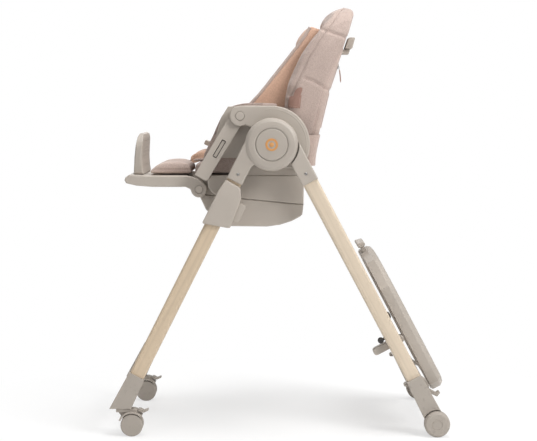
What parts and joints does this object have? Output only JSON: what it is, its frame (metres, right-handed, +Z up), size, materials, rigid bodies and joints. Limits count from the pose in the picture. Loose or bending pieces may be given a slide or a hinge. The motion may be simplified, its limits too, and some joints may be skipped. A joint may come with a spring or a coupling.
{
  "type": "baby high chair",
  "caption": "Folding baby high chair: wooden A-frame legs on side hubs, height-adjustable padded seat with reclining back, leg rest with footplate, tray stored on the rear legs.",
  "frame": {"origin": "on the floor, under the middle of the chair's bounding box", "axes": "+Z up, -Y the way the seated child faces, +X the child's left"},
  "size_m": [0.555, 0.824, 1.046],
  "materials": {
    "taupe_plastic": "fine matt texture",
    "wheel_plastic": "satin",
    "ash_wood": "clear matt varnish, fine straight grain",
    "rose_fabric": "soft quilted weave",
    "peach_fabric": "soft jersey",
    "strap_webbing": "woven webbing",
    "steel": "brushed",
    "dark_rubber": "satin"
  },
  "bodies": {
    "frame": {"hub_ring_left": "taupe_plastic", "hub_ring_right": "taupe_plastic", "front_leg_left": "ash_wood", "front_leg_right": "ash_wood", "front_leg_screw_left": "steel", "front_leg_screw_right": "steel", "front_foot_left": "taupe_plastic", "front_foot_right": "taupe_plastic", "front_crossbar": "taupe_plastic"},
    "rear_frame": {"rear_bracket_left": "taupe_plastic", "rear_bracket_right": "taupe_plastic", "rear_leg_left": "ash_wood", "rear_leg_right": "ash_wood", "rear_leg_screw_left": "steel", "rear_leg_screw_right": "steel", "rear_foot_left": "taupe_plastic", "rear_foot_right": "taupe_plastic", "tray_rack": "taupe_plastic"},
    "seat": {"seat_base": "taupe_plastic", "seat_bottom_cover": "taupe_plastic", "seat_side_left": "taupe_plastic", "seat_side_right": "taupe_plastic", "slider_left": "taupe_plastic", "slider_right": "taupe_plastic", "leg_rest_rod": "steel", "recline_rod": "steel", "seat_cushion": "rose_fabric", "inlay_seat": "peach_fabric", "crotch_strap": "strap_webbing", "harness_buckle": "taupe_plastic"},
    "backrest": {"backrest_shell": "taupe_plastic", "backrest_cushion": "rose_fabric", "inlay_back": "peach_fabric", "shoulder_straps": "strap_webbing"},
    "recline_handle": {"recline_handle": "taupe_plastic"},
    "leg_rest": {"leg_rest": "taupe_plastic", "leg_rest_pad": "rose_fabric"},
    "footplate": {"footplate": "taupe_plastic"},
    "buckle_button": {"buckle_button": "dark_rubber"},
    "tray": {"tray_base": "taupe_plastic", "tray_insert": "taupe_plastic"},
    "tray_handle": {"tray_handle": "wheel_plastic"},
    "fold_button_left": {"hub_cap_left": "taupe_plastic"},
    "rear_wheel_left": {"rear_wheel_left": "wheel_plastic"},
    "caster_left": {"caster_housing_left": "wheel_plastic"},
    "caster_wheels_left": {"caster_wheels_left": "wheel_plastic"},
    "brake_left": {"brake_pedal_left": "wheel_plastic"},
    "height_lever_left": {"height_lever_left": "taupe_plastic"},
    "armrest_left": {"armrest_left": "taupe_plastic"},
    "armrest_button_left": {"armrest_button_left": "taupe_plastic"},
    "leg_rest_button_left": {"leg_rest_button_left": "taupe_plastic"},
    "fold_button_right": {"hub_cap_right": "taupe_plastic"},
    "rear_wheel_right": {"rear_wheel_right": "wheel_plastic"},
    "caster_right": {"caster_housing_right": "wheel_plastic"},
    "caster_wheels_right": {"caster_wheels_right": "wheel_plastic"},
    "brake_right": {"brake_pedal_right": "wheel_plastic"},
    "height_lever_right": {"height_lever_right": "taupe_plastic"},
    "armrest_right": {"armrest_right": "taupe_plastic"},
    "armrest_button_right": {"armrest_button_right": "taupe_plastic"},
    "leg_rest_button_right": {"leg_rest_button_right": "taupe_plastic"}
  },
  "joints": [
    {"name": "frame_fold", "type": "hinge", "parent": "frame", "child": "rear_frame", "pos_m": [0, -0.019, 0.706], "axis": [-1, 0, 0], "range_deg": [0, 48]},
    {"name": "seat_height", "type": "slide", "parent": "frame", "child": "seat", "axis": [0, -0.4493, -0.8934], "range_m": [0, 0.24]},
    {"name": "recline", "type": "hinge", "parent": "seat", "child": "backrest", "pos_m": [0, 0.06, 0.668], "axis": [-1, 0, 0], "range_deg": [0, 40]},
    {"name": "recline_release", "type": "slide", "parent": "backrest", "child": "recline_handle", "axis": [0, 0.3187, 0.9479], "range_m": [0, 0.008], "stiffness_N_per_m": 600, "springref_m": -0.004},
    {"name": "leg_rest_tilt", "type": "hinge", "parent": "seat", "child": "leg_rest", "pos_m": [0, -0.197, 0.594], "axis": [1, 0, 0], "range_deg": [0, 90]},
    {"name": "footplate_slide", "type": "slide", "parent": "leg_rest", "child": "footplate", "axis": [0, 1, 0], "range_m": [0, 0.02]},
    {"name": "buckle_release", "type": "slide", "parent": "seat", "child": "buckle_button", "axis": [0, -0.3746, -0.9272], "range_m": [0, 0.002], "stiffness_N_per_m": 800, "springref_m": -0.001},
    {"name": "tray_pull_off", "type": "slide", "parent": "rear_frame", "child": "tray", "axis": [0, 0.8846, 0.4664], "range_m": [0, 0.12]},
    {"name": "tray_release", "type": "slide", "parent": "tray", "child": "tray_handle", "axis": [0, -0.4664, 0.8846], "range_m": [0, 0.008], "stiffness_N_per_m": 600, "springref_m": -0.004},
    {"name": "fold_button_left", "type": "slide", "parent": "frame", "child": "fold_button_left", "axis": [-1, 0, 0], "range_m": [0, 0.003], "stiffness_N_per_m": 900, "springref_m": -0.002},
    {"name": "rear_wheel_roll_left", "type": "hinge", "parent": "rear_frame", "child": "rear_wheel_left", "pos_m": [0.24, 0.381, 0.031], "axis": [1, 0, 0], "continuous": true},
    {"name": "caster_swivel_left", "type": "hinge", "parent": "frame", "child": "caster_left", "pos_m": [0.24, -0.38, 0.067], "axis": [0, 0, 1], "continuous": true},
    {"name": "caster_roll_left", "type": "hinge", "parent": "caster_left", "child": "caster_wheels_left", "pos_m": [0.24, -0.358, 0.027], "axis": [1, 0, 0], "continuous": true},
    {"name": "brake_left", "type": "hinge", "parent": "caster_left", "child": "brake_left", "pos_m": [0.24, -0.34, 0.0628], "axis": [-1, 0, 0], "range_deg": [0, 12]},
    {"name": "height_lever_left", "type": "slide", "parent": "seat", "child": "height_lever_left", "axis": [0, -0.8934, 0.4493], "range_m": [0, 0.006], "stiffness_N_per_m": 700, "springref_m": -0.004},
    {"name": "armrest_fold_left", "type": "hinge", "parent": "seat", "child": "armrest_left", "pos_m": [0.1975, -0.0955, 0.774], "axis": [-1, 0, 0], "range_deg": [0, 59]},
    {"name": "armrest_button_left", "type": "slide", "parent": "seat", "child": "armrest_button_left", "axis": [-1, 0, 0], "range_m": [0, 0.003], "stiffness_N_per_m": 700, "springref_m": -0.002},
    {"name": "leg_rest_button_left", "type": "slide", "parent": "leg_rest", "child": "leg_rest_button_left", "axis": [-1, 0, 0], "range_m": [0, 0.0024], "stiffness_N_per_m": 700, "springref_m": -0.002},
    {"name": "fold_button_right", "type": "slide", "parent": "frame", "child": "fold_button_right", "axis": [1, 0, 0], "range_m": [0, 0.003], "stiffness_N_per_m": 900, "springref_m": -0.002},
    {"name": "rear_wheel_roll_right", "type": "hinge", "parent": "rear_frame", "child": "rear_wheel_right", "pos_m": [-0.24, 0.381, 0.031], "axis": [1, 0, 0], "continuous": true},
    {"name": "caster_swivel_right", "type": "hinge", "parent": "frame", "child": "caster_right", "pos_m": [-0.24, -0.38, 0.067], "axis": [0, 0, 1], "continuous": true},
    {"name": "caster_roll_right", "type": "hinge", "parent": "caster_right", "child": "caster_wheels_right", "pos_m": [-0.24, -0.358, 0.027], "axis": [1, 0, 0], "continuous": true},
    {"name": "brake_right", "type": "hinge", "parent": "caster_right", "child": "brake_right", "pos_m": [-0.24, -0.34, 0.0628], "axis": [-1, 0, 0], "range_deg": [0, 12]},
    {"name": "height_lever_right", "type": "slide", "parent": "seat", "child": "height_lever_right", "axis": [0, -0.8934, 0.4493], "range_m": [0, 0.006], "stiffness_N_per_m": 700, "springref_m": -0.004},
    {"name": "armrest_fold_right", "type": "hinge", "parent": "seat", "child": "armrest_right", "pos_m": [-0.1975, -0.0955, 0.774], "axis": [-1, 0, 0], "range_deg": [0, 59]},
    {"name": "armrest_button_right", "type": "slide", "parent": "seat", "child": "armrest_button_right", "axis": [1, 0, 0], "range_m": [0, 0.003], "stiffness_N_per_m": 700, "springref_m": -0.002},
    {"name": "leg_rest_button_right", "type": "slide", "parent": "leg_rest", "child": "leg_rest_button_right", "axis": [1, 0, 0], "range_m": [0, 0.0024], "stiffness_N_per_m": 700, "springref_m": -0.002}
  ]
}
